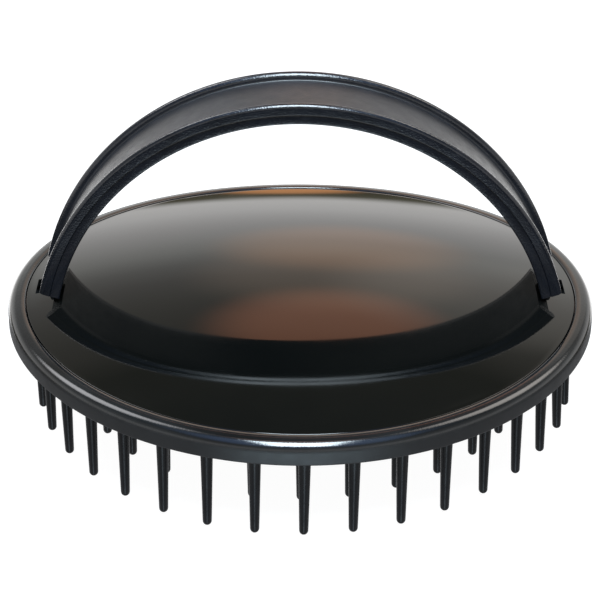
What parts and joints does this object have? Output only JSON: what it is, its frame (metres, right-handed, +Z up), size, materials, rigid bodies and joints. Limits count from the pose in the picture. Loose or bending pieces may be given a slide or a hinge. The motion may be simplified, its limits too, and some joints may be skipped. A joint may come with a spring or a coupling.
{
  "type": "curry comb",
  "caption": "Palm-held round curry comb: domed cover, rolled rim, arched strap handle and rings of tapered round-tipped pins underneath.",
  "frame": {"origin": "under the centre of the base, on the surface that the lowest pin tips touch", "axes": "+Z up, from the pin tips to the top of the handle; +X from one foot of the handle to the other; +Y across the handle, the way the fingers point"},
  "size_m": [0.1, 0.1, 0.0573],
  "materials": {
    "base_plastic": "satin, glossy on the bead",
    "cover_plastic": "mirror gloss",
    "handle_plastic": "semi-gloss",
    "pin_plastic": "satin"
  },
  "bodies": {
    "root": {"rim_base": "base_plastic", "back_cover": "cover_plastic", "handle": "handle_plastic", "centre_pin": "pin_plastic", "pins_ring_1": "pin_plastic", "pins_ring_2": "pin_plastic", "pins_ring_3": "pin_plastic", "pins_ring_4": "pin_plastic", "pins_ring_5": "pin_plastic", "pins_ring_6": "pin_plastic"}
  },
  "joints": []
}
